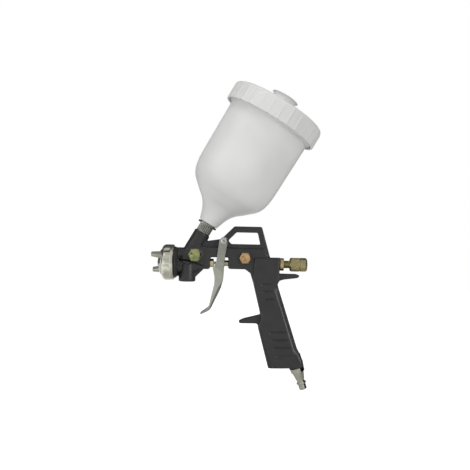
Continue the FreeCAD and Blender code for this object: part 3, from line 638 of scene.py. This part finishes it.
# Each pair goes by depth below the frame's origin: the x of the blade's front and rear edges,
# the CAD lever's half-width, and how far from front to rear the crease and the rolled front lie.
BLADE_FRONT = [31.0, 37.6, 45.0, 51.4, 78.6, 86.0], [-31.6, -34.9, -33.2, -32.5, -38.6, -47.0]
BLADE_REAR = [24.9, 39.7, 50.2, 58.0, 81.6, 86.0], [-22.3, -23.6, -24.1, -26.0, -37.0, -46.6]
BLADE_HALF = [42.0, 64.0, 100.0], [10.1, 7.2, 6.4]
CREASE = [50.0, 58.0, 72.0, 84.0], [1.0, 0.60, 0.52, 0.45]
ROLL = [34.0, 54.0], [0.08, 0.42]
ARM_HALF, TAPER = 10.1, 3.3


def blade_form(points):
    """Below the pivot the lever's arms lean together, rolled in front and creased behind."""
    x, y, z = points.T
    front = np.interp(-z, *BLADE_FRONT)
    deep = np.maximum(np.interp(-z, *BLADE_REAR) - front, 1.0)
    share = np.clip((x - front) / deep, 0, 1)
    behind = np.maximum(share - np.interp(-z, *CREASE), 0) * ease(-z, 46.0, 58.0)
    ahead = np.maximum(np.interp(-z, *ROLL) - share, 0)
    flowing = ARM_HALF - TAPER * ease(-z - 8.0 * (share - 0.5), 36.0, 74.0)
    lean = np.interp(-z, *BLADE_HALF) - flowing + deep * (0.80 * behind + 0.30 * ahead)
    arm = ease(np.abs(y), 4.0, 7.5)
    points[:, 1] = y - np.sign(y) * np.minimum(lean, 0.62 * np.abs(y)) * arm
    return points


lever = remeshed("trigger", voxel=0.24, rounds=6, most=130000, change=blade_form)
finished(lever, "trigger_lever", "trigger", sharp=50.0)
turned("pivot_screw", "trigger_pin", [
    (-10.9, 0), (-11.1, 1.45), (-12.2, 1.5), (-12.4, 1.9, 0.15), (-12.4, 2.5, 0.4), (-11.4, 3.75, 0.5),
    (-10.2, 3.9, 0.2), (-10.2, 2.5), (10.7, 2.5), (10.7, 1.9), (11.6, 1.9), (11.6, 2.5), (12.2, 2.5, 0.2),
    (12.5, 2.2, 0.2), (12.5, 0),
], PIN, segments=120, closed=False)


# ------------------------------------------------------------ air inlet plug

INLET_PITCH, INLET_THREAD, INLET_RADIUS = 1.337, 0.55, 6.55
INLET_FLATS, INLET_CORNER, INLET_TURN = 13.0, 7.4, math.radians(10)


def inlet_form(r, z, a):
    """Hexagon on the plug's nut, and the thread that goes into the casting."""
    side = np.minimum(INLET_FLATS / 2 / np.cos(sector(a - INLET_TURN, 6)), INLET_CORNER)
    nut = (z > 0.85) & (z < 5.65) & (r > 6.2)
    r = np.where(nut, np.minimum(r, side), r)
    lines = INLET_THREAD * thread(z, a, INLET_PITCH) * within(z, -10.6, 0.4, 0.6)
    return np.where((z < 0.8) & (r > 6.5), r - lines, r)


turned("inlet_plug", "air_plug", [
    (-11, 2.6, 0.2), (-11, 6.0), (-10.4, INLET_RADIUS), (0.9, INLET_RADIUS), (0.9, 7.35, 0.3),
    (4.6, 7.45, 0.5), (5.6, 6.5, 0.3), (5.6, 6.1), (13.0, 4.5, 0.8), (14.2, 4.0, 0.5), (15.8, 4.0, 0.2),
    (16.2, 5.0, 0.3), (17.8, 5.0, 0.3), (18.2, 4.0, 0.2), (23.4, 4.0, 0.5), (24.3, 3.2, 0.3),
    (24.3, 2.6, 0.1),
], INLET, segments=216, form=inlet_form, sharp=28.0, fine=0.3)
turned("inlet_washer", "air_plug_seal", [
    (0.03, 6.6, 0.1), (0.03, 7.8, 0.25), (0.87, 7.8, 0.25), (0.87, 6.6, 0.1),
], INLET)


# ------------------------------------------------------------ cup adapter

RIBS, RIB_RADIUS, RIB_DEPTH = 20, 7.5, 0.7
CUP_THREAD_RADIUS, CUP_THREAD_DEPTH, CUP_PITCH = 6.0, 0.5, 2.0


def adapter_form(r, z, a):
    """Ribs round the adapter's waist, and the cup's thread above them."""
    rib = (0.5 + 0.5 * np.cos(RIBS * a)) ** 0.5
    valley = RIB_DEPTH * (1 - rib) * within(z, 37.3, 44.8, 0.4)
    r = np.where(np.abs(r - RIB_RADIUS) < 0.05, r - valley, r)
    lines = CUP_THREAD_DEPTH * thread(z, a, CUP_PITCH) * within(z, 47.6, 59.2, 0.8)
    return np.where(np.abs(r - CUP_THREAD_RADIUS) < 0.01, r - lines, r)


turned("cup_nipple", "cup_adapter", [
    (26.2, 3.3), (26.2, 5.0, 0.3), (36.73, 5.0), (36.73, RIB_RADIUS, 0.35), (45.0, RIB_RADIUS),
    (45.0, 9.9, 0.2), (45.4, 10.35, 0.3), (46.9, 10.35, 0.3), (47.2, 9.9, 0.15), (47.2, CUP_THREAD_RADIUS),
    (59.4, CUP_THREAD_RADIUS, 0.2), (60.0, 5.4, 0.1), (60.0, 3.3),
], STEM, segments=240, form=adapter_form, sharp=30.0, fine=0.4)
turned("cup_washer", "cup_gasket", [
    (47.23, 6.1, 0.1), (47.23, 9.0, 0.3), (47.97, 9.0, 0.3), (47.97, 6.1, 0.1),
], STEM)


# ------------------------------------------------------------ cup

CUP_WALL = 1.9
CUP_FOOT = [(48.0, 10.3), (51.2, 11.4), (58.1, 13.8), (64.0, 16.9), (68.5, 20.5), (73.5, 26.5), (78.5, 32.0),
            (83.5, 37.4), (90.5, 41.5), (100.5, 43.8), (112.0, 44.5)]


def spline(points, steps):
    """Smooth curve through outline points."""
    p = np.array(points, float)
    t = np.concatenate([[0], np.cumsum(np.linalg.norm(np.diff(p, axis=0), axis=1))])
    slope = np.gradient(p, t, axis=0)
    out = []
    for i in range(len(p) - 1):
        h = t[i + 1] - t[i]
        for k in range(steps):
            s = k / steps
            out.append((2 * s ** 3 - 3 * s ** 2 + 1) * p[i] + (s ** 3 - 2 * s ** 2 + s) * h * slope[i]
                       + (-2 * s ** 3 + 3 * s ** 2) * p[i + 1] + (s ** 3 - s ** 2) * h * slope[i + 1])
    out.append(p[-1])
    return [tuple(q) for q in out]


def cup_outline():
    """The funnel below, the straight side and the threaded rim, outside and then inside."""
    outer = spline(CUP_FOOT, 6)
    tangent = np.gradient(np.array(outer), axis=0)
    tangent /= np.linalg.norm(tangent, axis=1)[:, None]
    inner = [(z + t[1] * CUP_WALL, r - t[0] * CUP_WALL) for (z, r), t in zip(outer, tangent) if z > 55]
    rim = [(169.5, 45.6, 0.8), (171.5, 48.3, 0.6), (172.5, 48.7, 0.3), (186.7, 48.7, 0.5), (187.2, 48.2, 0.2),
           (187.2, 46.9, 0.3), (173.5, 46.9, 0.5), (171.5, 43.7, 0.8)]
    return [(48.0, 6.05), *outer, *rim, *inner[::-1], (60.8, 6.9), (60.2, 6.05)]


turned("paint_cup", "cup", cup_outline(), STEM, segments=256, sharp=35.0, fine=4.0)


# ------------------------------------------------------------ lid and vent cap

LID_RIBS, LID_RADIUS = 30, 51.7
LID_RIB_HEIGHT, LID_RIB_WIDTH = 0.5, 1.15


def ribbed(r, z, a):
    """Raises ribs on the lid's side, which fade out into its top edge."""
    offset = (math.pi / LID_RIBS - np.abs(sector(a, LID_RIBS))) * LID_RADIUS
    rib = LID_RIB_HEIGHT * np.exp(-(offset / LID_RIB_WIDTH) ** 2)
    fade = np.clip((188.2 - z) / 1.6, 0, 1) * np.clip((z - 170.4) / 0.3, 0, 1)
    return np.where(r > 51.0, r + rib * fade, r)


turned("screw_lid", "lid", [
    (170.5, 49.7, 0.2), (170.5, LID_RADIUS, 0.4), (187.9, LID_RADIUS, 1.2), (189.5, 50.9, 1.2),
    (190.5, 49.1, 0.8), (190.5, 13.4, 0.6), (191.3, 12.4, 0.4), (191.3, 10.9, 0.3), (201.5, 10.9, 0.4),
    (201.5, 9.4, 0.3), (189.9, 9.4, 0.3), (189.9, 1.2), (188.6, 1.2), (188.6, 49.7),
], STEM, segments=720, form=ribbed, sharp=35.0, fine=0.9)
turned("vent_cover", "vent_cap", [
    (191.5, 10.95, 0.1), (191.5, 13.0, 0.3), (202.1, 13.0, 0.3), (202.3, 15.0, 0.3), (202.8, 15.2, 0.3),
    (203.3, 14.2, 0.5), (204.4, 7.0, 3.0), (204.8, 1.5), (204.8, 0), (202.3, 0), (202.3, 10.95, 0.3),
], STEM, segments=160, sharp=30.0, fine=0.8, closed=False)


# ------------------------------------------------------------ springs

TURN_STEPS, WIRE_SIDES = 40, 12
END_CLOSING = 0.55


def coil(name, node, radius, wire, x0, x1, turns, share):
    """Length of a compression spring about the needle axis, from x0 to x1; the piece is not attached to the
    bodies that hold its ends.
    share is where the piece starts and ends along the whole spring."""
    steps = turns * TURN_STEPS
    bm = bmesh.new()
    rows = []
    for i in range(round(steps * share[0]), round(steps * share[1]) + 1):
        t = i / steps
        a = 2 * math.pi * turns * t
        spread = t - END_CLOSING / turns / (2 * math.pi) * math.sin(2 * math.pi * t)
        x = x0 + wire / 2 + (x1 - x0 - wire) * spread
        centre = Vector((x, radius * math.cos(a), NEEDLE_Z + radius * math.sin(a)))
        out = Vector((0, math.cos(a), math.sin(a)))
        row = []
        for k in range(WIRE_SIDES):
            b = 2 * math.pi * k / WIRE_SIDES
            point = centre + (out * math.cos(b) + Vector((1, 0, 0)) * math.sin(b)) * (wire / 2)
            row.append(bm.verts.new(point * MM))
        rows.append(row)
    for a, b in zip(rows[:-1], rows[1:]):
        for k in range(WIRE_SIDES):
            beside = (k + 1) % WIRE_SIDES
            bm.faces.new((a[k], a[beside], b[beside], b[k]))
    bm.faces.new(rows[0][::-1])
    bm.faces.new(rows[-1])
    mesh = meshed(bm, name)
    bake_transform(finished(mesh, name, node, sharp=60.0, rides=False))


coil("valve_coil", "air_valve_spring", radius=5.2, wire=0.9, x0=6.05, x1=22.15, turns=7,
     share=(0, 1))
for name, share, bodies in (("needle_coil_front", (0, 0.5), ("needle", "gun")),
                            ("needle_coil_rear", (0.5, 1), ("gun", "knob_carrier"))):
    coil(name, "needle_spring", radius=2.35, wire=0.6, x0=16.05, x1=56.95, turns=22,
         share=share)


# ------------------------------------------------------------ CAD nodes that are shown as they are

for name, node in NODES.items():
    if not node.hide_render:
        node.data.materials.clear()
        node.data.materials.append(MATERIALS[name])


# ------------------------------------------------------------ camera

CAMERA_PLACE = (-0.01254, -0.7245, -0.00269)
CAMERA_ROLL = math.radians(1.25)

cam_data = bpy.data.cameras.new("camera")
cam_data.sensor_width = 36.0
cam_data.lens = 52.85
cam_data.clip_start = 0.01
cam = bpy.data.objects.new("camera", cam_data)
bpy.context.scene.collection.objects.link(cam)
turn = Matrix.Rotation(math.radians(90), 4, "X") @ Matrix.Rotation(CAMERA_ROLL, 4, "Z")
cam.matrix_world = Matrix.Translation(CAMERA_PLACE) @ turn
bpy.context.scene.camera = cam
bpy.context.scene.view_settings.view_transform = "Standard"


# ------------------------------------------------------------ floor

FLOOR_CENTRE, FLOOR_RADIUS = (0, 0.2, -0.178), 1.6


def floor_material():
    """Shines white to the camera, evenly on to matt surfaces, and less into reflections.
    Reflections see it dark right beneath the gun and towards the knob's side."""
    g = Graph("floor_pale")
    shade = g.mix(g.span(g.noise(scale=9.0), 0.3, 0.7), (0.24, 0.24, 0.24), (0.27, 0.27, 0.27))
    rays = g.node("ShaderNodeLightPath").outputs
    far = g.vector("LENGTH", g.vector("MULTIPLY", g.place, (1.0, 1.0, 0.0)))
    glow = g.math("MULTIPLY", rays["Is Camera Ray"], 0.95)
    glow = g.math("ADD", glow, g.math("MULTIPLY", rays["Is Diffuse Ray"], 0.50))
    beneath = g.span(far, 0.10, 0.30, 0.20, 0.55)
    behind = g.span(g.split(g.place)["X"], 0.09, 0.16, 1.0, 0.05)
    glossy = g.math("MULTIPLY", rays["Is Glossy Ray"], g.math("MULTIPLY", beneath, behind))
    return g.set(Base_Color=shade, Roughness=0.8, Emission_Color=(1, 1, 1),
                 Emission_Strength=g.math("ADD", glow, glossy))


bm = bmesh.new()
bmesh.ops.create_circle(bm, cap_ends=True, segments=96, radius=FLOOR_RADIUS,
                        matrix=Matrix.Translation(FLOOR_CENTRE))
floor_mesh = bpy.data.meshes.new("floor")
bm.to_mesh(floor_mesh)
bm.free()
floor_mesh.materials.append(floor_material())
floor = bpy.data.objects.new("floor", floor_mesh)
bpy.context.scene.collection.objects.link(floor)


# ------------------------------------------------------------ lights

def softbox(name, place, aim, width, height, power, mirrored=False):
    """Area light in metres and watts; mirrored says whether glossy surfaces show it."""
    data = bpy.data.lights.new(name, "AREA")
    data.shape = "RECTANGLE"
    data.size, data.size_y = width, height
    data.energy = power
    lamp = bpy.data.objects.new(name, data)
    lamp.visible_glossy = mirrored
    bpy.context.scene.collection.objects.link(lamp)
    lamp.location = place
    lamp.rotation_mode = "QUATERNION"
    lamp.rotation_quaternion = (Vector(aim) - Vector(place)).to_track_quat("-Z", "Y")
    return lamp


softbox("key", (-1.10, -0.95, 0.72), (0.0, 0, 0.05), width=0.26, height=1.0, power=5.0)
softbox("strip", (0.74, -0.78, 0.12), (0.03, 0, -0.05), width=0.20, height=0.8, power=2.2)
softbox("overhead", (-0.05, -0.35, 1.1), (0, 0, 0), width=0.5, height=0.12, power=2.5)
sheen = softbox("sheen", (0.80, -0.72, 0.05), (0.03, 0, -0.08), width=0.24, height=0.9, power=5.0,
                mirrored=True)
sheen.light_linking.receiver_collection = bpy.data.collections.new("dark_coated")
sheen.light_linking.receiver_collection.objects.link(bpy.data.objects["casting"])
softbox("back", (-0.3, 1.0, 0.6), (0, 0, 0), width=0.9, height=0.7, power=3.0)


# ------------------------------------------------------------ world

CARDS, TENT = 0.86, 0.64


def product(g, *factors):
    out = factors[0]
    for factor in factors[1:]:
        out = g.math("MULTIPLY", out, factor)
    return out


def sky(g):
    """Brightness of the world: reflections see white cards round the object, matt surfaces an even tent."""
    x, y, z = g.split(g.node("ShaderNodeTexCoord").outputs["Generated"])
    height = product(g, g.span(z, -0.62, -0.34, 0.12, 1.0), g.span(z, 0.10, 0.42, 1.0, 0.60))
    front = product(g, g.span(y, -0.2, 0.2, 1.0, 0.15), g.span(x, 0.68, 0.76, 1.0, 0.05),
                    g.span(y, -0.99, -0.93, 0.66, 1.0))
    left = product(g, g.span(y, -0.52, -0.44, 0.0, 1.0), g.span(y, -0.36, -0.28, 1.0, 0.0),
                   g.span(x, -0.5, -0.3, 2.4, 0.0))
    right = product(g, g.span(x, 0.54, 0.60, 0.0, 1.0), g.span(x, 0.66, 0.72, 1.0, 0.0),
                    g.span(y, -0.4, -0.2, 1.4, 0.0))
    cards = product(g, height, g.math("ADD", front, g.math("ADD", left, right)), CARDS)
    tent = g.math("MULTIPLY", g.span(y, -0.4, 0.6, 1.0, 0.8), TENT)
    matt = g.node("ShaderNodeLightPath").outputs["Is Diffuse Ray"]
    return g.math("ADD", cards, g.math("MULTIPLY", matt, g.math("SUBTRACT", tent, cards)))


def white_behind(world):
    """The camera sees plain white; every other ray sees the sky."""
    g = Graph.of(world.node_tree)
    seen = world.node_tree.nodes["Background"]
    seen.inputs["Color"].default_value = (1, 1, 1, 1)
    seen.inputs["Strength"].default_value = 1.0
    lit = g.node("ShaderNodeBackground")
    lit.inputs["Color"].default_value = (0.985, 0.995, 1.0, 1)
    g.put(lit.inputs["Strength"], sky(g))
    both = g.node("ShaderNodeMixShader")
    g.put(both.inputs[0], g.node("ShaderNodeLightPath").outputs["Is Camera Ray"])
    g.put(both.inputs[1], lit.outputs[0])
    g.put(both.inputs[2], seen.outputs[0])
    g.put(world.node_tree.nodes["World Output"].inputs["Surface"], both.outputs[0])


world = bpy.data.worlds.new("world")
bpy.context.scene.world = world
world.use_nodes = True
white_behind(world)
